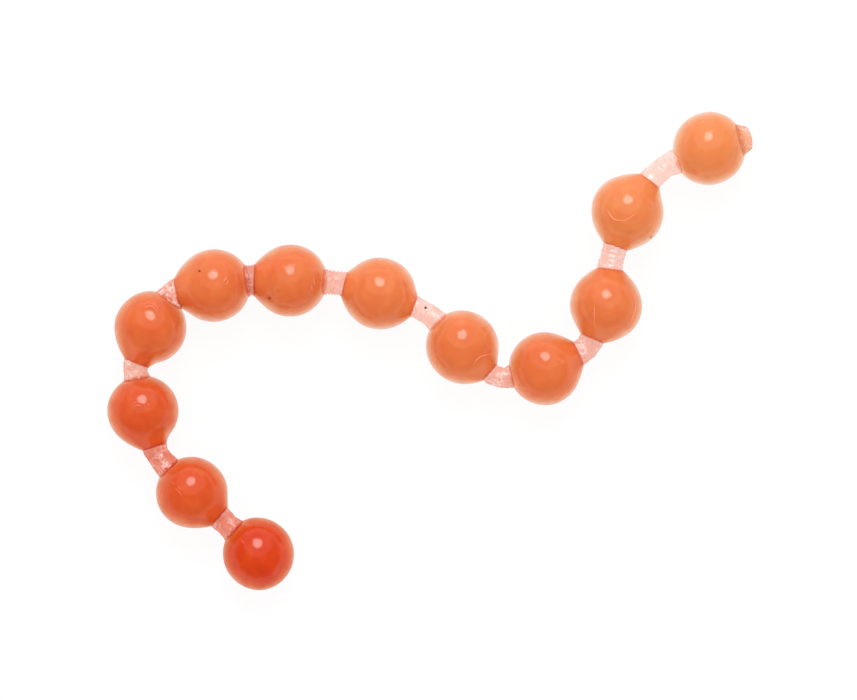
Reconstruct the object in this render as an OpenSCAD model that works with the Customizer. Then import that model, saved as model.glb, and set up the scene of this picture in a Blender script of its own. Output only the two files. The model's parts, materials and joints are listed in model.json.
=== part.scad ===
// A string of soft salmon eggs, used as fishing bait: twelve dyed gel eggs, each under a thin
// clear coat, joined by short translucent links, with the trimmed nub of the string on the last
// egg. It lies on its side on z = 0, and the origin is under the middle of its box.
// Every link leaves and meets the eggs along a line through their centres, so it runs straight
// out of one egg, around one bend, and straight into the next.

/* [Eggs] */
// Diameter of an egg
egg_d = 8; // [6:0.1:10]
// Thickness of the clear coat over an egg's dyed core
coat_t = 0.35; // [0.2:0.05:0.6]
// Depth of the small flat that an egg presses under itself
rest_depth = 0.05; // [0.02:0.01:0.15]

/* [Links] */
// Diameter of a plain link
link_d = 2.7; // [2:0.1:3.2]
// Smallest gap between two neighbouring eggs
least_gap = 0.3; // [0.25:0.05:1.5]
// How far a flare's neck stands off its egg
flare = 0.6; // [0.2:0.05:1]

/* [Nub] */
// Diameter of the nub where it leaves the last egg
nub_d = 3; // [2:0.1:4]
// Diameter of the nub's trimmed tip
nub_tip_d = 2.1; // [1.2:0.1:2.8]
// How far the nub stands off the last egg
nub_reach = 0.75; // [0.5:0.05:1.5]
// Height of a ridge around the nub
ridge = 0.06; // [0.02:0.01:0.12]

/* [Hidden] */
$fn = 64;

// Clearance between a core and its coat, and between a link and the egg that it meets
fit_gap = 0.02;
// Shortest straight stretch at each end of a link
least_stub = 0.05;
// Least clearance between the inside of a link's bend and the centre that it turns about
bend_room = 0.1;
// Where a flare leaves the ball: 0 is in line with its neck, and 1 is where it would be tangent
flare_spread = 0.6;
// How deep a flare's cone starts below the ball's surface, as a share of the ball's radius
flare_root = 0.15;

// One entry for each link, from the first egg to the last. Angles are from +X towards +Y.
// Direction of the line between the two egg centres
headings = [137, 121, 85, 33, 4, -8, -33, -15, 46, 77, 38];
// Gap between the two eggs beyond the least gap
slack = [1.6, 2.1, 0.9, 0, 0.1, 1.6, 2.5, 1, 1.4, 2.2, 3];
// Half of the link's bend, never 0: a positive one bows to the left of its heading
half_bends = [-1, 13, 16, 22, 5, 6, 12, -28, -21, 6, 16];
// Diameter beyond that of a plain link, which is more where a short link is bunched
swell = [0, 0, 0.1, 0.5, 0.8, 0.1, -0.3, -0.4, 0, 0.1, -0.1];
// How the neck stands on the egg that the link leaves, and on the one that it meets: 1 is a full
// flare, 0 is level with the top of the ball, and -1 is down on a flat seat in the ball
near_flares = [0, 0, 0, 0, -1, 0, 1, 1, 0.6, 0.5, 1];
far_flares = [1, 1, 1, 0.3, -1, 1, 0, 0, 0.6, 0.5, 0];
// Direction of the nub on the last egg, and the number of ridges around it
nub_heading = 15;
nub_ridges = 2;

// Steps around a link's bend, and sides around a link
bend_steps = 6;
link_sides = 24;

// Colours at the two ends of the string, which fades from the first egg to the last
core_first = [0.86, 0.25, 0.10];
core_last = [0.96, 0.58, 0.33];
link_first = [0.90, 0.50, 0.38, 0.8];
link_last = [0.98, 0.82, 0.75, 0.8];
coat_colour = [0.98, 0.72, 0.62, 0.35];

links = len(headings);
eggs = links + 1;
last_link = links - 1;
last_egg = eggs - 1;
egg_r = egg_d / 2;
core_r = egg_r - coat_t;
nub_r = nub_d / 2;
nub_tip_r = nub_tip_d / 2;

function along(angle) = [cos(angle), sin(angle)];
function pitch(i) = egg_d + least_gap + slack[i];
function link_r(i) = (link_d + swell[i]) / 2;

// Distance from an egg's centre to the point where a link's two straight lines would cross
function corner(i) = pitch(i) / 2 / cos(half_bends[i]);

// Distance from an egg's centre to a flat seat of the given radius, cut into the ball
function seat(radius) = sqrt(egg_r ^ 2 - radius ^ 2);

// Distance from an egg's centre to its link's neck, with room left for the link's bend
function furthest(i) =
    corner(i) - fit_gap - least_stub - (link_r(i) + bend_room) * tan(abs(half_bends[i]));
function stand(i, share) = share * (share < 0 ? egg_r - seat(link_r(i)) : flare);
function neck(i, share) = max(seat(link_r(i)), min(egg_r + stand(i, share), furthest(i)));
function near_neck(i) = neck(i, near_flares[i]);
function far_neck(i) = neck(i, far_flares[i]);

// An egg's necks as [direction, distance, radius]: the link it meets, then the one it sends out
function near_end(i) = [headings[i] + half_bends[i], near_neck(i), link_r(i)];
function far_end(i) = [headings[i] - half_bends[i] + 180, far_neck(i), link_r(i)];
function nub_end() = [nub_heading, seat(nub_r), nub_r];
function ends(i) = [
    if (i > 0) far_end(i - 1),
    if (i < last_egg) near_end(i),
    if (i == last_egg) nub_end()
];

// The core runs through to a neck that stands off the egg, and stops a coat short of any other
function stands_off(end) = end[1] > egg_r;
function core_end(end, gap) = stands_off(end)
    ? [end[0], end[1] + gap, end[2] - coat_t + gap]
    : [end[0], end[1] - coat_t + gap, 0];
function core_ends(i, gap) = [for (end = ends(i)) core_end(end, gap)];

// Egg centres, first from the first egg and then from the middle of the whole string's box
function chain(i) = i == 0 ? [0, 0] : chain(i - 1) + pitch(i - 1) * along(headings[i - 1]);
path = [for (i = [0 : last_egg]) chain(i)];
nub_right = path[last_egg].x + (egg_r + nub_reach) * cos(nub_heading) + nub_tip_r * sin(nub_heading);
low = [min([for (p = path) p.x]), min([for (p = path) p.y])] - egg_r * [1, 1];
high = [
    max(max([for (p = path) p.x]) + egg_r, nub_right),
    max([for (p = path) p.y]) + egg_r
];
centres = [for (p = path) p - (low + high) / 2];
centre_height = egg_r - rest_depth;

function number(i) = str(i < 9 ? "0" : "", i + 1);
function core_name(i) = str("egg_", number(i), "_core");
function coat_name(i) = str("egg_", number(i), "_coat");
function link_name(i) = str("link_", number(i));

function fade(first, last, i, count) = first + (last - first) * i / (count - 1);

module at_egg(i) {
    translate([centres[i].x, centres[i].y, centre_height]) children();
}

// Turns +Z to lie level, in the given direction
module towards(angle) {
    rotate([0, 90, angle]) children();
}

// A cone from inside a ball to a neck, which leaves the ball a little short of tangent
module flare_cone(ball_r, neck_at, neck_r) {
    neck_angle = atan2(neck_r, neck_at);
    base_angle = neck_angle + flare_spread * acos(ball_r / norm([neck_at, neck_r]));
    base_at = ball_r * cos(base_angle);
    base_r = ball_r * sin(base_angle);
    slope = (base_r - neck_r) / (neck_at - base_at);
    root = flare_root * ball_r;
    translate([0, 0, base_at - root])
        cylinder(h = neck_at - base_at + root, r1 = base_r + slope * root, r2 = neck_r);
}

// A ball with a cone out to each neck that lies clear of it, and cut flat at the others. The
// ball's seam is turned to its side, where it meets no neck.
module drop(ball_r, necks) {
    difference() {
        union() {
            rotate([0, 0, necks[0][0] + 90]) sphere(ball_r);
            for (n = necks)
                if (norm([n[1], n[2]]) > ball_r + fit_gap)
                    towards(n[0]) flare_cone(ball_r, n[1], n[2]);
        }
        for (n = necks)
            if (n[1] < ball_r)
                towards(n[0]) translate([0, 0, n[1]]) cylinder(h = egg_r, r = egg_r);
    }
}

module egg_core(i) {
    color(fade(core_first, core_last, i, eggs))
        at_egg(i) drop(core_r, core_ends(i, 0));
}

module egg_coat(i) {
    color(coat_colour)
        at_egg(i) difference() {
            drop(egg_r, ends(i));
            drop(core_r + fit_gap, core_ends(i, fit_gap));
            translate([-egg_r, -egg_r, -egg_r - centre_height]) cube([egg_d, egg_d, egg_r]);
        }
}

// A link's centre line in its own frame, with +X along its heading from the first egg's centre:
// a straight stub, an arc of `bend_steps` steps, and a straight stub. Each entry is
// [x, y, direction].
function arc_run(i) = corner(i) - fit_gap - least_stub - max(near_neck(i), far_neck(i));
function arc_radius(i) = arc_run(i) / tan(half_bends[i]);
function arc_centre(i) = (corner(i) - arc_run(i)) * along(half_bends[i])
    - arc_radius(i) * along(half_bends[i] + 90);
function arc_point(i, direction) =
    concat(arc_centre(i) + arc_radius(i) * along(direction + 90), [direction]);
function near_point(i) =
    concat((near_neck(i) + fit_gap) * along(half_bends[i]), [half_bends[i]]);
function far_point(i) =
    concat([pitch(i), 0] + (far_neck(i) + fit_gap) * along(180 - half_bends[i]), [-half_bends[i]]);
function centre_line(i) = concat(
    [near_point(i)],
    [for (k = [0 : bend_steps]) arc_point(i, half_bends[i] * (1 - 2 * k / bend_steps))],
    [far_point(i)]
);

// A ring of points around one entry of the centre line, square to its direction
function ring(p, radius) = [
    for (j = [0 : link_sides - 1])
        let (a = 360 * j / link_sides)
            concat([p.x, p.y] + radius * cos(a) * along(p[2] + 90), [radius * sin(a)])
];

module link(i) {
    rings = [for (p = centre_line(i)) ring(p, link_r(i))];
    last = len(rings) - 1;
    sides = [
        for (k = [0 : last - 1], j = [0 : link_sides - 1])
            let (a = k * link_sides + j, b = k * link_sides + (j + 1) % link_sides)
                each [[a, b, b + link_sides], [a, b + link_sides, a + link_sides]]
    ];
    first_cap = [for (j = [link_sides - 1 : -1 : 0]) j];
    last_cap = [for (j = [0 : link_sides - 1]) last * link_sides + j];
    color(fade(link_first, link_last, i, links))
        at_egg(i) rotate([0, 0, headings[i]])
            polyhedron([for (r = rings) each r], concat(sides, [first_cap, last_cap]));
}

module tail_nub() {
    from = seat(nub_r) + fit_gap;
    length = egg_r + nub_reach - from;
    step = length / (nub_ridges + 1);
    thickness = step / 3;
    color(core_last)
        at_egg(last_egg) towards(nub_heading) translate([0, 0, from]) {
            cylinder(h = length, r1 = nub_r, r2 = nub_tip_r);
            for (k = [1 : nub_ridges])
                translate([0, 0, k * step - thickness / 2])
                    cylinder(
                        h = thickness,
                        r = nub_r - (nub_r - nub_tip_r) * (k * step - thickness / 2) / length + ridge
                    );
        }
}

for (i = [0 : last_egg])
    egg_core(i);
for (i = [0 : last_egg])
    egg_coat(i);
for (i = [0 : last_link])
    link(i);
tail_nub();
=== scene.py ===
"""Looks of a string of soft salmon eggs: dyed gel cores under clear coats, joined by short
translucent links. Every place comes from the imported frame. Lengths are in millimetres until a
mesh is made, in metres; angles are in degrees from +X towards +Y, seen from above."""

import json
import math

import bmesh
import bpy
import numpy as np
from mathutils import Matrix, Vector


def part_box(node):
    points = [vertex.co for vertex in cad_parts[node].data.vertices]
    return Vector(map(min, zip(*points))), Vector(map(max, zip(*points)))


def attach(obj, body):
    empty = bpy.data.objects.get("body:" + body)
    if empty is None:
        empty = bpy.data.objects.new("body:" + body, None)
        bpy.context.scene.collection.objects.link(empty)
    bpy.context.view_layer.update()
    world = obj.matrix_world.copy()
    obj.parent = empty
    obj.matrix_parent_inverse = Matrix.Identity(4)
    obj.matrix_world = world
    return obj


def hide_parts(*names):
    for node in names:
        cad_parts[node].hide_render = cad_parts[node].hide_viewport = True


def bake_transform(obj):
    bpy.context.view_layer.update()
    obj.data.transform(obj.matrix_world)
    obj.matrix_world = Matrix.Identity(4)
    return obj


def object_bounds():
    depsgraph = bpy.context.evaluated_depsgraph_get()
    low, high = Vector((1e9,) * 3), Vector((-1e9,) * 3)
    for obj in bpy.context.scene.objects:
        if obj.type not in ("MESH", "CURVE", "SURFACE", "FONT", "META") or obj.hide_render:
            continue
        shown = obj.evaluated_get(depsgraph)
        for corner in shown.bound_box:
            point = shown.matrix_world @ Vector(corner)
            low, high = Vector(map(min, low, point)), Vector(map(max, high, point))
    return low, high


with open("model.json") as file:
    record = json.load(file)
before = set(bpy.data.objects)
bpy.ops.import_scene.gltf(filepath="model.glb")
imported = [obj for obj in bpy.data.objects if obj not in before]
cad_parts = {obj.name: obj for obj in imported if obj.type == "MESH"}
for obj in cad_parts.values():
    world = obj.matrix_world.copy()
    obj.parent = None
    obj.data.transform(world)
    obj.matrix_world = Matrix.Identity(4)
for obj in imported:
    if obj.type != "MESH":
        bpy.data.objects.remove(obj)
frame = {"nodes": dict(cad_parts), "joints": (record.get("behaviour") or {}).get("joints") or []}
cad_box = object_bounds()

MM = 0.001
EGGS = 12
LINKS = EGGS - 1

# ---------------------------------------------------------------- sizes, in millimetres
# How far the neck of a full flare stands off its egg
FLARE = 0.65
# How far round the ball a flare spreads from its neck, in degrees, and how hollow its shoulder is
FILLET = 36
FLARE_HOLLOW = 2.5
# Least length left between a flare's neck and the corner of its link
CORNER_ROOM = 0.2
# How close the gel lies over the floor
FLOOR_GAP = 0.01
FLOOR_HALF = 1500
# How far an egg strays from a ball in broad and in fine bumps, and the size of such a bump
UNEVEN = 0.06
FINE_UNEVEN = 0.004
BROAD_BUMP = 9
FINE_BUMP = 1.1
# Radius of each egg. They differ a little.
EGG_RS = [3.93, 3.9, 3.88, 3.95, 4.03, 3.95, 3.97, 3.97, 3.97, 3.96, 3.99, 4.0]
# The dye thins out towards the skin: depth of each layer of it, how much narrower it is than the
# skin at a neck, and how cloudy it is. The last one is the edge of the solid core.
LAYERS = [
    (0.12, 0.03, 0.04),
    (0.22, 0.06, 0.06),
    (0.34, 0.1, 0.09),
    (0.48, 0.14, 0.13),
    (0.65, 0.19, 0.18),
    (0.84, 0.24, 0.24),
    (1.08, 0.3, 0.34),
]
# The nub: its radius at the egg and at its tip, how far below the egg's surface it starts, how
# far it stands off, its direction in degrees, and its ridges
NUB_R = 1.75
NUB_TIP_R = 1.15
NUB_ROOT = 0.5
NUB_REACH = 0.85
NUB_HEADING = 15
NUB_RIDGES = 6
NUB_RIDGE_HEIGHT = 0.06
NUB_ROWS = 56

# One entry for each link: half of its bend, its width, and how far the egg's skin is drawn out
# along it at each end, as a share of a full flare
HALF_BENDS = [-1, 13, 16, 22, 5, 6, 12, -28, -21, 6, 16]
LINK_WIDTHS = [2.7, 2.7, 2.8, 3.2, 3.4, 2.7, 2.4, 2.3, 2.75, 2.8, 2.6]
NEAR_FLARES = [0, 0, 0, 0, 0, 0, 0.12, 0.2, 0.2, 0.05, 0.4]
FAR_FLARES = [0.25, 0.45, 0.5, 0.2, 0.05, 0.15, 0, 0, 0.1, 0.15, 0]
# Which side of each flare is drawn out further: 1 is its left side, looking along the string
NEAR_LEANS = [0, 0, 0, 0, 0, 0, -0.35, -0.35, 0, 0, 0.3]
FAR_LEANS = [0.25, 0.5, 0.45, 0.35, 0, -0.35, 0, 0, -0.25, 0, 0]

# Rows along a link, and sides round a link or the nub
LINK_ROWS = 61
ROUND_SIDES = 56
# How far a link's end goes into a neck, and past the surface of a plain ball
INTO_NECK = 0.06
INTO_BALL = 0.04
# More rows at each end of a link: how far each is past that end, and its share of the width
END_DEPTHS = (0.04, 0.08, 0.12, 0.16)
END_SHARES = (0.97, 0.9, 0.82, 0.74)
# How much wider a link is where it meets a plain ball, over about what share of its length, and
# how much narrower it is at its middle
END_RISE = 0.06
RISE_LENGTH = 0.16
WAIST = 0.05

# How far each egg's colour has faded from the first one's to the last one's, and the same for
# the links
EGG_FADES = [0, 0.3, 0.32, 0.55, 0.68, 0.7, 0.81, 0.77, 0.67, 0.79, 0.96, 1]
LINK_FADES = [0.05, 0, 0.6, 0.55, 0.42, 0.7, 0.85, 0.6, 0.65, 0.86, 1]
FIRST_CORE, LAST_CORE = (220, 66, 14), (244, 146, 84)
FIRST_RIM, LAST_RIM = (222, 138, 112), (246, 198, 176)
FIRST_LINK, LAST_LINK = (230, 118, 88), (252, 210, 196)
# What the coats, the links and the creases scatter, and the colours of the nub and the specks
FIRST_COAT, LAST_COAT = (240, 100, 60), (250, 180, 140)
FIRST_CLOUD, LAST_CLOUD = (238, 130, 100), (254, 214, 200)
FIRST_CREASE, LAST_CREASE = (250, 150, 110), (255, 214, 190)
NUB_TINT, NUB_CLOUD = (240, 170, 128), (245, 190, 150)
DARK_SPECK, LIGHT_SPECK = (60, 8, 4), (130, 24, 12)

# Ripples on each link: rings along it, their depth, how far they slant round it, and how much
# of a net of painted glints shows in it: pale lines that stand in for highlights on its wrinkles
RINGS = [0, 0, 0, 0, 7, 7, 0, 0, 0, 5.6, 0]
RING_DEPTHS = [0, 0, 0, 0, 0.1, 0.07, 0, 0, 0, 0.03, 0]
RING_SLANTS = [0, 0, 0, 0, 0.25, 0.05, 0, 0, 0, 0.2, 0]
GLINT_SHARES = [0.2, 0.3, 0.4, 0.7, 0.5, 0.35, 0.3, 0.5, 0.6, 0.4, 0.35]

# Fine marks on the eggs, as strokes through points in egg radii from the egg's centre, seen
# from above, and the small specks in the skin as (x, y, radius in mm)
STROKES = {
    1: [[(-0.42, 0.42), (-0.36, 0.32)], [(-0.3, 0.1), (-0.25, 0.03)]],
    2: [
        [(-0.5, 0.3), (-0.45, 0.25)],
        [(-0.42, 0.15), (-0.3, 0.02), (-0.25, -0.06)],
        [(-0.35, 0.2), (-0.28, 0.1)],
    ],
    3: [
        [(-0.25, 0.2), (-0.12, 0.27), (0.05, 0.22), (0.16, 0.1)],
        [(-0.2, 0.14), (-0.08, 0.18), (0.02, 0.13)],
        [(0.18, 0.24), (0.22, 0.14)],
    ],
    4: [
        [(-0.12, 0.5), (0, 0.58), (0.12, 0.56), (0.22, 0.46)],
        [(0.02, 0.66), (0.16, 0.62), (0.26, 0.5)],
    ],
    5: [[(0.3, 0.1), (0.38, 0.22)], [(0.36, 0.02), (0.44, 0.16)]],
    6: [
        [(-0.2, 0.32), (0, 0.38), (0.14, 0.44)],
        [(-0.16, 0.4), (-0.04, 0.26)],
        [(-0.06, 0.46), (0.12, 0.4), (0.2, 0.5)],
        [(0.6, -0.1), (0.62, -0.3)],
        [(0.66, 0.05), (0.7, -0.15)],
    ],
    8: [
        [(-0.1, 0.35), (0, 0.3), (0.12, 0.34)],
        [(0, 0.4), (0.05, 0.24)],
        [(-0.06, 0.22), (0.1, 0.22)],
        [(0.3, -0.5), (0.45, -0.3), (0.66, -0.22), (0.82, -0.2)],
    ],
    9: [[(0.35, 0.28), (0.5, 0.2)], [(0.4, 0.12), (0.52, 0.24)]],
    10: [
        [(0.72, 0.3), (0.8, 0.1), (0.76, -0.2), (0.64, -0.5)],
        [(0.78, 0.28), (0.84, 0.14)],
        [(-0.35, 0), (-0.36, -0.5)],
    ],
    11: [
        [(-0.59, 0.06), (-0.52, -0.1), (-0.38, -0.24), (-0.1, -0.25), (0.22, -0.05)],
    ],
    12: [[(-0.3, 0.66), (-0.15, 0.72)], [(-0.05, 0.42), (0.05, 0.46), (0.12, 0.42)]],
}
SPECKS = {
    5: [(-0.35, 0.39, 0.11)],
    6: [(-0.55, -0.49, 0.12), (-0.32, -0.28, 0.07)],
    11: [(0.63, -0.7, 0.09)],
}
# The same on the links, as (x, y, radius) in mm from the link's middle
LINK_SPECKS = {7: (-0.1, 0.46, 0.12), 8: (1.0, -1.0, 0.06)}
# Radius of a crease
STROKE_R = 0.042
# Gloss of the wet gel: how rough it is, and how much it mirrors at a glancing angle
GLOSS_ROUGHNESS = 0.13
GLANCING_GLOSS = 0.14


# ---------------------------------------------------------------- the frame, read as a string
def two(i):
    """The number of an egg or a link, as names have it."""
    return f"{i + 1:02d}"


def along(angle):
    a = math.radians(angle)
    return np.array([math.cos(a), math.sin(a), 0.0])


def egg_centre(i):
    """An egg's centre, under the pole of its CAD core."""
    name = f"egg_{two(i)}_core"
    low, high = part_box(name)
    top = max(frame["nodes"][name].data.vertices, key=lambda v: v.co.z).co
    return np.array([top.x, top.y, (low.z + high.z) / 2]) / MM


def link_pivot(i):
    joint = next(j for j in frame["joints"] if j["name"] == f"link_{two(i)}_lift")
    return np.array(joint["pos_m"]) / MM


CENTRES = [egg_centre(i) for i in range(EGGS)]


def heading(i):
    d = CENTRES[i + 1] - CENTRES[i]
    return math.degrees(math.atan2(d[1], d[0]))


def corner(i):
    """Distance from an egg's centre to where the link's two straight runs would cross."""
    pitch = np.linalg.norm(CENTRES[i + 1] - CENTRES[i])
    return pitch / 2 / math.cos(math.radians(HALF_BENDS[i]))


def neck(i, egg, share):
    """Distance from an egg's centre to the end of its flare along link i."""
    return min(EGG_RS[egg] + FLARE * share, corner(i) - CORNER_ROOM)


def link_ends(i):
    """The two ends of link i as (egg, angle, neck distance, share, lean)."""
    near = heading(i) + HALF_BENDS[i]
    far = heading(i) - HALF_BENDS[i] + 180
    return (
        (i, near, neck(i, i, NEAR_FLARES[i]), NEAR_FLARES[i], NEAR_LEANS[i]),
        (i + 1, far, neck(i, i + 1, FAR_FLARES[i]), FAR_FLARES[i], -FAR_LEANS[i]),
    )


def flares_of(egg):
    """The flares on one egg, as (axis, side, neck distance, neck radius, lean)."""
    found = []
    for i in range(LINKS):
        for at, angle, distance, share, lean in link_ends(i):
            if at == egg and share > 0:
                radius = LINK_WIDTHS[i] / 2
                found.append((along(angle), along(angle + 90), distance, radius, lean))
    return found


# ---------------------------------------------------------------- meshes
def waves(seed, size, count=14):
    """A smooth random field over points in mm, mostly -1 to 1, with bumps of about that size."""
    rng = np.random.default_rng(seed)
    k = rng.normal(size=(count, 3))
    scale = (2 * math.pi / size) / np.linalg.norm(k, axis=1)[:, None]
    k *= scale * rng.uniform(0.6, 1.4, (count, 1))
    phase = rng.uniform(0, 2 * math.pi, count)
    return lambda p: np.sin(p @ k.T + phase).sum(1) * math.sqrt(2 / count) / 1.5


def mesh_object(name, points, faces, smooth=True):
    """A mesh from points in mm, with their rest places kept for the materials."""
    mesh = bpy.data.meshes.new(name)
    mesh.from_pydata([tuple(p) for p in points * MM], [], [tuple(map(int, f)) for f in faces])
    mesh.update()
    rest = mesh.attributes.new("rest", "FLOAT_VECTOR", "POINT")
    rest.data.foreach_set("vector", points.astype(np.float32).ravel())
    if smooth:
        mesh.shade_smooth()
    made = bpy.data.objects.new(name, mesh)
    bpy.context.scene.collection.objects.link(made)
    return made


def ball_directions(level):
    """Unit directions and triangles of an icosphere."""
    bm = bmesh.new()
    bmesh.ops.create_icosphere(bm, subdivisions=level, radius=1)
    directions = np.array([v.co[:] for v in bm.verts])
    faces = [[v.index for v in f.verts] for f in bm.faces]
    bm.free()
    return directions / np.linalg.norm(directions, axis=1)[:, None], faces


FINE_BALL, FINE_FACES = ball_directions(6)
COARSE_BALL, COARSE_FACES = ball_directions(5)


def speck_shape(seed, radius):
    """A small lumpy ball about the origin, as points and faces."""
    directions, faces = ball_directions(3)
    lumps = 1 + 0.25 * waves(seed, 1.2)(directions)
    return directions * (radius * lumps)[:, None], faces


def gel_radius(directions, ball_r, flares, inset):
    """Radius of an egg along each direction: a ball drawn out to a neck at each flare. The lower
    limits on the sine and the cosine only keep the divisions away from 0."""
    radius = np.full(len(directions), ball_r)
    for axis, side, distance, neck_r, lean in flares:
        neck_r = neck_r - inset
        angle = np.degrees(np.arccos(np.clip(directions @ axis, -1, 1)))
        neck_angle = math.degrees(math.atan2(neck_r, distance))
        neck_reach = math.hypot(neck_r, distance)
        sine = np.maximum(np.sin(np.radians(angle)), 0.05)
        spread = FILLET * (1 + lean * np.clip(directions @ side / sine, -1, 1))
        t = np.clip((angle - neck_angle) / spread, 0, 1)
        drawn = ball_r + (neck_reach - ball_r) * (1 - t) ** FLARE_HOLLOW
        cap = distance / np.maximum(np.cos(np.radians(angle)), 0.1)
        drawn = np.where(angle < neck_angle, cap, drawn)
        radius = np.maximum(radius, drawn)
    return radius


def egg_points(egg, directions, depth, inset, fine):
    """Points of an egg at that depth under its surface, with its necks that much narrower."""
    radius = gel_radius(directions, EGG_RS[egg] - depth, flares_of(egg), inset)
    local = directions * EGG_RS[egg]
    broad_bumps = waves(egg, BROAD_BUMP)(local)
    fine_bumps = waves(egg + 50, FINE_BUMP)(local)
    radius = radius + UNEVEN * broad_bumps + fine * fine_bumps
    points = CENTRES[egg] + directions * radius[:, None]
    points[:, 2] = np.maximum(points[:, 2], FLOOR_GAP)
    return points


def join_parts(parts):
    """Several (points, faces, material index) as one."""
    points, faces, slots, start = [], [], [], 0
    for p, f, slot in parts:
        points.append(p)
        faces += [[v + start for v in face] for face in f]
        slots += [slot] * len(f)
        start += len(p)
    return np.vstack(points), faces, slots


def tube(path, radii, sides, ripple=None):
    """A closed tube along points in mm, with a radius for each. ripple(s, a) adds to the radius
    at the share s of the path and the angle a round it."""
    path = np.asarray(path, float)
    ahead = np.gradient(path, axis=0)
    ahead /= np.linalg.norm(ahead, axis=1)[:, None]
    up = np.array([0.0, 0.0, 1.0])
    points = []
    for k, (p, d, r) in enumerate(zip(path, ahead, radii)):
        left = np.cross(up, d)
        left /= np.linalg.norm(left)
        over = np.cross(d, left)
        a = np.arange(sides) * 2 * math.pi / sides
        here = r + (ripple(k / (len(path) - 1), a) if ripple else 0)
        points.append(p + np.outer(here * np.cos(a), left) + np.outer(here * np.sin(a), over))
    faces = []
    for k in range(len(path) - 1):
        for j in range(sides):
            a, b = k * sides + j, k * sides + (j + 1) % sides
            faces.append([a, b, b + sides, a + sides])
    last = (len(path) - 1) * sides
    faces.append([*range(sides - 1, -1, -1)])
    faces.append([last + j for j in range(sides)])
    return np.vstack(points), faces


# ---------------------------------------------------------------- materials
def linear(rgb):
    """A colour given as 0 to 255, in linear light and with an alpha of 1."""
    c = np.array(rgb, float) / 255
    c = np.where(c <= 0.04045, c / 12.92, ((c + 0.055) / 1.055) ** 2.4)
    return (*c, 1.0)


def between(first, last, share):
    return tuple(a + (b - a) * share for a, b in zip(first, last))


def add(tree, kind, inputs=None, **settings):
    """A shader node, with its settings and its inputs: values, or outputs to link."""
    made = tree.nodes.new("ShaderNode" + kind)
    for name, value in settings.items():
        setattr(made, name, value)
    for name, value in (inputs or {}).items():
        if isinstance(value, bpy.types.NodeSocket):
            tree.links.new(value, made.inputs[name])
        else:
            made.inputs[name].default_value = value
    return made


def new_material(name):
    material = bpy.data.materials.new(name)
    material.use_nodes = True
    material.node_tree.nodes.clear()
    return material, material.node_tree


def rest_place(tree):
    """The point's place at rest, in mm, so that a pattern stays with the gel as it bends."""
    return add(tree, "Attribute", attribute_name="rest").outputs["Vector"]


def noise(tree, place, size, detail=3.0, roughness=0.5):
    """Noise whose features are about that many mm across."""
    inputs = {"Vector": place, "Scale": 1 / size, "Detail": detail, "Roughness": roughness}
    return add(tree, "TexNoise", inputs).outputs["Fac"]


def remap(tree, value, low, high, to_low, to_high):
    """The value taken from one range to another, and held within it."""
    inputs = {
        "Value": value,
        "From Min": low,
        "From Max": high,
        "To Min": to_low,
        "To Max": to_high,
    }
    return add(tree, "MapRange", inputs).outputs["Result"]


def calculate(tree, operation, *values, clamp=False):
    """The outcome of a Math node."""
    inputs = dict(enumerate(values))
    return add(tree, "Math", inputs, operation=operation, use_clamp=clamp).outputs[0]


def mix_colour(tree, share, a, b):
    mixer = add(tree, "Mix", data_type="RGBA")
    colours = [s for s in mixer.inputs if s.type == "RGBA"]
    for socket, value in ((mixer.inputs["Factor"], share), (colours[0], a), (colours[1], b)):
        if isinstance(value, bpy.types.NodeSocket):
            tree.links.new(value, socket)
        else:
            socket.default_value = value
    return next(s for s in mixer.outputs if s.type == "RGBA")


def finish_surface(tree, shader, volume=None):
    inputs = {"Surface": shader}
    if volume is not None:
        inputs["Volume"] = volume
    add(tree, "OutputMaterial", inputs)


def wet_share(tree, normal, straight_on):
    """How much a wet skin mirrors: more at a glancing angle, and nothing from inside."""
    facing = add(tree, "LayerWeight", {"Blend": 0.5, "Normal": normal}).outputs["Facing"]
    glancing = calculate(tree, "POWER", facing, 5.0)
    share = remap(tree, glancing, 0, 1, straight_on, GLANCING_GLOSS)
    inside = add(tree, "NewGeometry").outputs["Backfacing"]
    outside = calculate(tree, "SUBTRACT", 1.0, inside)
    return calculate(tree, "MULTIPLY", share, outside)


def absorb(tree, passed, depth):
    """Gel that lets that share of each colour through a thickness of that many mm."""
    loss = -np.log(np.clip(np.array(passed[:3]), 1e-3, 0.999)) / (depth * MM)
    density = float(loss.max())
    inputs = {"Color": (*(1 - loss / density), 1.0), "Density": density}
    return add(tree, "VolumeAbsorption", inputs).outputs[0]


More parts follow.
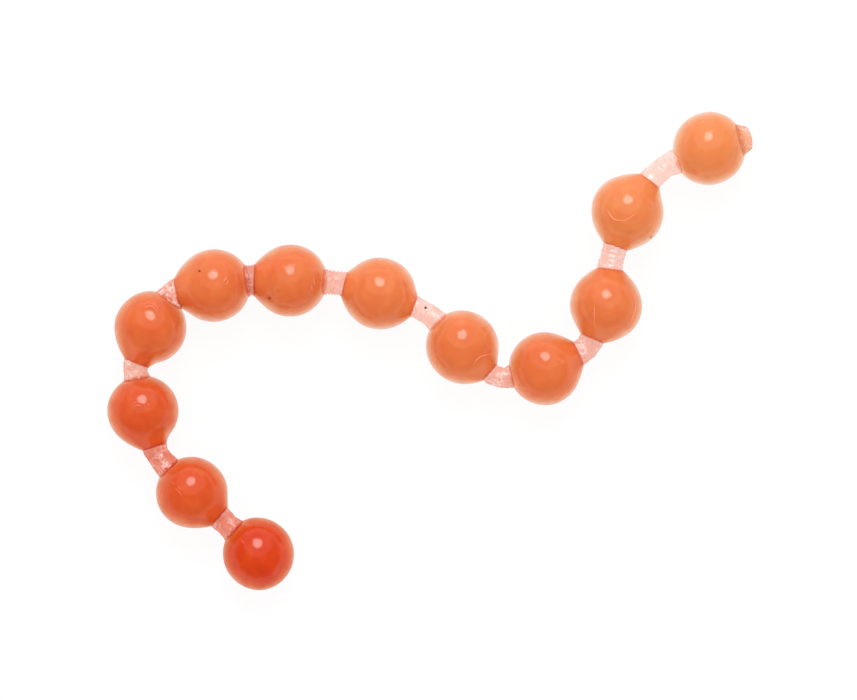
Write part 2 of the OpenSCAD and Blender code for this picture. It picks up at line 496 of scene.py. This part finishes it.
def core_material(name, passed, dye):
    """Dyed gel, half clear: light comes through it, and cloudy dye scatters some of it."""
    material, tree = new_material(name)
    place = rest_place(tree)
    cloud = remap(tree, noise(tree, place, 2.6, 4), 0.35, 0.65, 0, 1)
    grain = remap(tree, noise(tree, place, 0.5, 5, 0.7), 0.3, 0.7, 0, 1)
    deep = tuple(dye * (0.98, 0.92, 0.88)) + (1.0,)
    pale = tuple(np.minimum(0.98, dye * (1.02, 1.06, 1.1))) + (1.0,)
    body = mix_colour(tree, cloud, deep, pale)
    body = mix_colour(tree, remap(tree, grain, 0, 1, 0, 0.25), body, pale)
    bump = add(tree, "Bump", {"Height": grain, "Distance": 0.02 * MM, "Strength": 0.5})
    scatter = add(
        tree,
        "BsdfPrincipled",
        {
            "Base Color": body,
            "Roughness": 0.6,
            "Specular IOR Level": 0.0,
            "Subsurface Weight": 0.5,
            "Subsurface Radius": (1.0, 0.5, 0.3),
            "Subsurface Scale": 0.8 * MM,
            "Normal": bump.outputs["Normal"],
        },
    )
    clear = add(tree, "BsdfTransparent", {"Color": (*(passed**0.25), 1.0)})
    cloudy = LAYERS[-1][2]
    share = remap(tree, cloud, 0, 1, cloudy + 0.05, cloudy - 0.05)
    mixed = add(tree, "MixShader", {0: share, 1: clear.outputs[0], 2: scatter.outputs[0]})
    depth = 2 * (EGG_RS[0] - LAYERS[-1][0])
    finish_surface(tree, mixed.outputs[0], absorb(tree, passed**0.5, depth))
    return material


def painted_glint_lines(tree, place):
    """Bent pale lines in patches, painted highlights standing in for glints on wrinkles in the
    gel: 1 on a line, and 0 off it.
    """
    swirl = add(tree, "TexNoise", {"Vector": place, "Scale": 1.5}).outputs["Color"]
    bent = add(tree, "VectorMath", {0: place, 1: swirl}, operation="ADD").outputs[0]
    cells = add(tree, "TexVoronoi", {"Vector": bent, "Scale": 1.7}, feature="DISTANCE_TO_EDGE")
    line = remap(tree, cells.outputs["Distance"], 0.0, 0.24, 1, 0)
    patch = remap(tree, noise(tree, place, 1.1, 2), 0.45, 0.62, 0, 1)
    return calculate(tree, "MULTIPLY", line, patch)


def film_material(name, through, body, opacity, glints=0.0, bumps=0.3, wet=0.05):
    """Clear gel seen as one wall: it tints what is behind it and scatters a little light itself.
    It is glossy where wet is above 0. Where its net share is above 0, a net of pale lines shows:
    painted glints on its wrinkles, over real bumps."""
    material, tree = new_material(name)
    place = rest_place(tree)
    cloud = remap(tree, noise(tree, place, 1.6, 3), 0.35, 0.65, 0, 1)
    clear = tuple(c + (1 - c) * 0.3 for c in through[:3]) + (1.0,)
    tint = mix_colour(tree, cloud, through, clear)
    solid = remap(tree, cloud, 0, 1, opacity * 1.25, opacity * 0.75)
    height = noise(tree, place, 0.7, 4, 0.6)
    if glints > 0:
        line = painted_glint_lines(tree, place)
        # Painted highlights: the net's pale lines whiten and thicken the gel, standing in for
        # glints on its wrinkles; the bump from them is real
        body = mix_colour(tree, line, body, (1, 0.93, 0.9, 1))
        solid = calculate(tree, "MULTIPLY_ADD", line, 0.55 * glints, solid)
        height = calculate(tree, "MULTIPLY_ADD", line, 0.6 * glints, height)
    bump = add(tree, "Bump", {"Height": height, "Distance": 0.06 * MM, "Strength": bumps})
    normal = bump.outputs["Normal"]
    clear_part = add(tree, "BsdfTransparent", {"Color": tint}).outputs[0]
    inputs = {"Base Color": body, "Roughness": 0.5, "Specular IOR Level": 0.0, "Normal": normal}
    body_part = add(tree, "BsdfPrincipled", inputs).outputs[0]
    base = add(tree, "MixShader", {0: solid, 1: clear_part, 2: body_part}).outputs[0]
    if wet > 0:
        gloss = add(tree, "BsdfGlossy", {"Roughness": GLOSS_ROUGHNESS, "Normal": normal})
        mirror = wet_share(tree, normal, wet)
        base = add(tree, "MixShader", {0: mirror, 1: base, 2: gloss.outputs[0]}).outputs[0]
    finish_surface(tree, base)
    return material


def clear_material(name):
    """The join between the two halves of a link, which is one gel and doesn't show."""
    material, tree = new_material(name)
    finish_surface(tree, add(tree, "BsdfTransparent").outputs[0])
    return material


def speck_material(name):
    material, tree = new_material(name)
    grain = noise(tree, rest_place(tree), 0.05)
    colour = mix_colour(tree, grain, linear(DARK_SPECK), linear(LIGHT_SPECK))
    shader = add(tree, "BsdfPrincipled", {"Base Color": colour, "Roughness": 0.5})
    finish_surface(tree, shader.outputs[0])
    return material


# ---------------------------------------------------------------- camera, light and floor
def make_camera():
    """Straight above, far off, and framing the string with room around it. The middle of the
    picture is a little left of the string's own and above it."""
    sensor = 36
    lens = 200
    view_width = 93.9
    aim_x = -0.15
    aim_y = 0.13
    low, high = cad_box
    camera = bpy.data.objects.new("camera", bpy.data.cameras.new("camera"))
    camera.data.sensor_width = sensor
    camera.data.lens = lens
    middle = (low + high) / 2
    height = CENTRES[0][2] + view_width * lens / sensor
    camera.location = (middle.x + aim_x * MM, middle.y + aim_y * MM, height * MM)
    bpy.context.scene.collection.objects.link(camera)
    bpy.context.scene.camera = camera


def area_light(name, tilt, distance, width, height, radiance):
    """An oval lamp over the string, tilted from straight above towards +Y. Sizes in metres."""
    lamp = bpy.data.lights.new(name, "AREA")
    lamp.shape = "ELLIPSE"
    lamp.size, lamp.size_y = width, height
    area = math.pi / 4 * width * height
    lamp.energy = radiance * math.pi * area
    made = bpy.data.objects.new(name, lamp)
    a = math.radians(tilt)
    made.location = (0, distance * math.sin(a), distance * math.cos(a))
    made.rotation_euler = (-a, 0, 0)
    made.visible_camera = False
    bpy.context.scene.collection.objects.link(made)


def seen_directly(tree):
    """1 on a ray from the camera, a mirror or clear gel, and 0 on a ray that carries light."""
    path = add(tree, "LightPath").outputs
    total = calculate(tree, "ADD", path["Is Camera Ray"], path["Is Glossy Ray"])
    return calculate(tree, "ADD", total, path["Is Transmission Ray"], clamp=True)


def make_world(level):
    """Even light, seen as white at the horizon and as a dim ceiling overhead."""
    world = bpy.data.worlds.new("room")
    world.use_nodes = True
    tree = world.node_tree
    tree.nodes.clear()
    direction = add(tree, "TexCoord").outputs["Generated"]
    height = add(tree, "SeparateXYZ", {"Vector": direction}).outputs["Z"]
    seen = remap(tree, height, 0.05, 0.35, 1, 0.08)
    lit_or_seen = {0: seen_directly(tree), 2: level, 3: seen}
    strength = add(tree, "Mix", lit_or_seen, data_type="FLOAT")
    sky = add(tree, "Background", {"Color": (1, 1, 1, 1), "Strength": strength.outputs[0]})
    add(tree, "OutputWorld", {"Surface": sky.outputs[0]})
    bpy.context.scene.world = world


def make_floor():
    """A white table, bright enough to read as white and still keep a faint shadow."""
    half = FLOOR_HALF
    points = np.array([(-half, -half, 0), (half, -half, 0), (half, half, 0), (-half, half, 0)])
    floor = mesh_object("floor", points, [(0, 1, 2, 3)], smooth=False)
    material, tree = new_material("floor_white")
    paper = add(tree, "BsdfDiffuse", {"Color": (0.96, 0.96, 0.96, 1)})
    glow = add(tree, "Emission", {"Color": (1, 1, 1, 1), "Strength": 1.0})
    share = remap(tree, seen_directly(tree), 0, 1, 0, 0.92)
    mixed = add(tree, "MixShader", {0: share, 1: paper.outputs[0], 2: glow.outputs[0]})
    finish_surface(tree, mixed.outputs[0])
    floor.data.materials.append(material)


# ---------------------------------------------------------------- the pieces
def seen_colours(egg):
    """What shows of an egg: its middle and its rim, in linear light."""
    share = EGG_FADES[egg]
    middle = np.array(linear(between(FIRST_CORE, LAST_CORE, share))[:3])
    rim = np.array(linear(between(FIRST_RIM, LAST_RIM, share))[:3])
    return middle, rim


def make_core(egg):
    """The dyed core, and the thinner layers of dye around it."""
    middle, rim = seen_colours(egg)
    dye = np.clip(middle / rim, 0.002, 0.95)
    step = dye ** (1 / len(LAYERS))
    parts = []
    for slot, (depth, inset, _) in enumerate(LAYERS):
        points = egg_points(egg, COARSE_BALL, depth, inset, 0.0)
        parts.append((points, COARSE_FACES, slot))
    points, faces, slots = join_parts(parts)
    core = mesh_object(f"egg_{two(egg)}_dyed_gel", points, faces)
    edge = tuple(step**0.5) + (1.0,)
    body = tuple(dye**0.7) + (1.0,)
    for layer, (_, _, cloudy) in enumerate(LAYERS[:-1]):
        name = f"haze_{two(egg)}_{layer + 1}"
        core.data.materials.append(film_material(name, edge, body, cloudy, wet=0.0))
    core.data.materials.append(core_material(f"dye_{two(egg)}", step, dye**0.45))
    core.data.polygons.foreach_set("material_index", slots)
    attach(core, f"egg_{two(egg)}")
    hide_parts(f"egg_{two(egg)}_core")


def make_skin(egg):
    """The clear coat, wet and a little uneven. Gives its points."""
    rim = seen_colours(egg)[1]
    through = tuple(rim**0.5) + (1.0,)
    body = linear(between(FIRST_COAT, LAST_COAT, EGG_FADES[egg]))
    points = egg_points(egg, FINE_BALL, 0, 0, FINE_UNEVEN)
    skin = mesh_object(f"egg_{two(egg)}_clear_coat", points, FINE_FACES)
    skin.data.materials.append(film_material(f"coat_{two(egg)}", through, body, 0.05))
    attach(skin, f"egg_{two(egg)}")
    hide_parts(f"egg_{two(egg)}_coat")
    return points


def on_skin(egg, skin_points, x, y):
    """The point on top of an egg's skin at that place, in egg radii from its centre."""
    d = np.array([x, y, math.sqrt(max(0.01, 1 - x * x - y * y))])
    offsets = skin_points - CENTRES[egg]
    near = int(np.argmax(offsets @ d / np.linalg.norm(offsets, axis=1)))
    return CENTRES[egg] + d / np.linalg.norm(d) * np.linalg.norm(offsets[near])


def smooth_path(points, steps):
    """Points along a smooth curve through a few given ones."""
    p = np.asarray(points, float)
    if len(p) == 2:
        p = np.array([p[0], (p[0] + p[1]) / 2, p[1]])
    ends = [2 * p[0] - p[1], *p, 2 * p[-1] - p[-2]]
    path = []
    for a, b, c, d in zip(ends, ends[1:], ends[2:], ends[3:]):
        for t in np.linspace(0, 1, steps, endpoint=False):
            path.append(
                0.5 * (2 * b + (c - a) * t + (2 * a - 5 * b + 4 * c - d) * t**2
                       + (3 * b - a - 3 * c + d) * t**3)
            )
    return np.array([*path, p[-1]])


def make_marks(egg, skin_points):
    """Fine creases that stand in the skin, and specks in it."""
    parts = []
    for stroke in STROKES.get(egg + 1, []):
        flat = smooth_path(stroke, 6)
        path = np.array([on_skin(egg, skin_points, x, y) for x, y in flat])
        taper = np.sin(np.linspace(0.25, math.pi - 0.25, len(path)))
        points, faces = tube(path, STROKE_R * taper, 8)
        parts.append((points, faces, 0))
    for x, y, radius in SPECKS.get(egg + 1, []):
        speck, faces = speck_shape(egg, radius)
        parts.append((on_skin(egg, skin_points, x, y) + speck, faces, 1))
    if not parts:
        return
    points, faces, slots = join_parts(parts)
    marks = mesh_object(f"egg_{two(egg)}_marks", points, faces)
    pale = linear(between(FIRST_CREASE, LAST_CREASE, EGG_FADES[egg]))
    marks.data.materials.append(film_material(f"crease_{two(egg)}", pale, pale, 0.4, wet=0.04))
    marks.data.materials.append(speck_material(f"speck_{two(egg)}"))
    marks.data.polygons.foreach_set("material_index", slots)
    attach(marks, f"egg_{two(egg)}")


def sunk(i, egg, share):
    """How far a link's end goes into an egg: below a plain ball's surface all round, or just
    into a neck."""
    r = EGG_RS[egg]
    half_width = LINK_WIDTHS[i] / 2
    return INTO_NECK if share > 0 else r - math.sqrt(r * r - half_width**2) + INTO_BALL


def link_line(i):
    """The centre line of link i, from inside one egg to inside the next."""
    (a, near, near_neck, _, _), (b, far, far_neck, _, _) = link_ends(i)
    start = CENTRES[a] + along(near) * (near_neck - sunk(i, a, NEAR_FLARES[i]))
    end = CENTRES[b] + along(far) * (far_neck - sunk(i, b, FAR_FLARES[i]))
    middle = CENTRES[a] + along(near) * corner(i)
    t = np.linspace(0, 1, LINK_ROWS)[:, None]
    bend = (1 - t) ** 2 * start + 2 * t * (1 - t) * middle + t**2 * end
    into_a = [start - along(near) * d for d in reversed(END_DEPTHS)]
    into_b = [end - along(far) * d for d in END_DEPTHS]
    return np.vstack([into_a, bend, into_b])


def link_radii(i):
    """Radius along link i: wider where it meets a plain ball, and narrowing inside each egg."""
    r = LINK_WIDTHS[i] / 2
    s = np.linspace(0, 1, LINK_ROWS)
    near_rise = np.exp(-((s / RISE_LENGTH) ** 2)) * (END_RISE if NEAR_FLARES[i] == 0 else 0.0)
    far_rise = np.exp(-(((1 - s) / RISE_LENGTH) ** 2)) * (END_RISE if FAR_FLARES[i] == 0 else 0.0)
    radii = r * (1 - WAIST * np.sin(math.pi * s)) + r * (near_rise + far_rise)
    shares = np.array(END_SHARES)
    return np.concatenate([shares[::-1] * radii[0], radii, shares * radii[-1]])


def link_ripple(i):
    """How uneven link i is: what to add to its radius at a share s of it and angles a round it.
    The pattern is laid out on a plain tube 4 mm long and 1.3 mm in radius."""
    length = 4.0
    radius = 1.3
    lumps = waves(200 + i, 1.6)
    fine = waves(300 + i, 0.55)
    rings, depth, slant = RINGS[i], RING_DEPTHS[i], RING_SLANTS[i]

    def ripple(s, a):
        p = np.c_[np.full(len(a), s * length), radius * np.cos(a), radius * np.sin(a)]
        out = 0.05 * lumps(p) + 0.018 * fine(p)
        if rings:
            out = out + depth * np.cos(2 * math.pi * (rings * s + slant * np.sin(a + 1)))
        return out

    return ripple


def make_half(i, name, line, tube_points, tube_faces, materials):
    """The near or the far half of link i, cut from its whole tube, with a cap at the middle that
    doesn't show."""
    near = name == "near"
    middle = len(line) // 2
    first, last = (0, middle) if near else (middle, len(line) - 1)
    skipped = first * ROUND_SIDES
    points = tube_points[skipped : (last + 1) * ROUND_SIDES]
    faces = [[v - skipped for v in f] for f in tube_faces[skipped : last * ROUND_SIDES]]
    slots = [0] * len(faces) + ([0, 1] if near else [1, 0])
    faces.append([*range(ROUND_SIDES - 1, -1, -1)])
    faces.append([(last - first) * ROUND_SIDES + j for j in range(ROUND_SIDES)])
    piece = mesh_object(f"link_{two(i)}_{name}_half", points, faces)
    for material in materials:
        piece.data.materials.append(material)
    piece.data.polygons.foreach_set("material_index", slots)
    link = f"link_{two(i)}"
    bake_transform(piece)
    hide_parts(link)


def make_link(i):
    """A link in two halves, which meet at its middle."""
    line = link_line(i)
    points, faces = tube(line, link_radii(i), ROUND_SIDES, link_ripple(i))
    points[:, 2] = np.maximum(points[:, 2], FLOOR_GAP)
    fade = LINK_FADES[i]
    shown = np.array(linear(between(FIRST_LINK, LAST_LINK, fade))[:3])
    wall = tuple(np.sqrt(shown)) + (1.0,)
    cloud = linear(between(FIRST_CLOUD, LAST_CLOUD, fade))
    name = f"link_gel_{two(i)}"
    # The link's gel shows a net of painted glints, as much as its share in the table
    gel = film_material(name, wall, cloud, 0.2, glints=GLINT_SHARES[i], bumps=0.6, wet=0.06)
    join = clear_material(f"link_join_{two(i)}")
    for half in ("near", "far"):
        make_half(i, half, line, points, faces, (gel, join))


def make_link_speck(i, x, y, radius):
    """A small dark speck in the skin on top of a link."""
    pivot = link_pivot(i)
    across = along(heading(i) + 90)[:2] @ (x, y)
    height = math.sqrt(max(0.01, (LINK_WIDTHS[i] / 2 - 0.03) ** 2 - across**2))
    shape, faces = speck_shape(400 + i, radius)
    speck = mesh_object(f"link_{two(i)}_speck", pivot + (x, y, height) + shape, faces)
    speck.data.materials.append(speck_material(f"link_speck_{two(i)}"))
    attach(speck, f"link_{two(i)}")


def make_nub():
    """The trimmed stub on the last egg, with fine ridges across it and a rounded tip."""
    axis = along(NUB_HEADING)
    start = EGG_RS[-1] - NUB_ROOT
    tip = EGG_RS[-1] + NUB_REACH
    s = np.linspace(0, 1, NUB_ROWS)
    dome = np.sqrt(np.clip(1 - ((s - 0.72) / 0.28).clip(0) ** 2, 0.02, 1))
    radii = (NUB_R + (NUB_TIP_R - NUB_R) * s) * dome
    line = CENTRES[EGGS - 1] + np.outer(start + (tip - start) * s, axis)

    def ripple(share, a):
        fan = 0.16 * np.cos(a)
        return NUB_RIDGE_HEIGHT * np.cos(2 * math.pi * NUB_RIDGES * (share + fan * share))

    points, faces = tube(line, radii, ROUND_SIDES, ripple)
    nub = mesh_object("tail_nub_gel", points, faces)
    wall = tuple(np.sqrt(np.array(linear(NUB_TINT)[:3]))) + (1.0,)
    # The nub shows a faint net of painted glints too
    nub.data.materials.append(
        film_material("nub_gel", wall, linear(NUB_CLOUD), 0.3, glints=0.2, bumps=0.4)
    )
    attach(nub, f"egg_{two(EGGS - 1)}")
    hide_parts("tail_nub")


make_camera()
bpy.context.scene.view_settings.view_transform = "Standard"
bpy.context.scene.cycles.transparent_max_bounces = 48
make_world(0.84)
area_light("key", tilt=37, distance=1.0, width=0.46, height=0.52, radiance=6)
area_light("softbox", tilt=40, distance=1.0, width=2.0, height=2.2, radiance=0.55)
make_floor()
for index in range(EGGS):
    make_core(index)
    make_marks(index, make_skin(index))
for index in range(LINKS):
    make_link(index)
for number, place in LINK_SPECKS.items():
    make_link_speck(number - 1, *place)
make_nub()
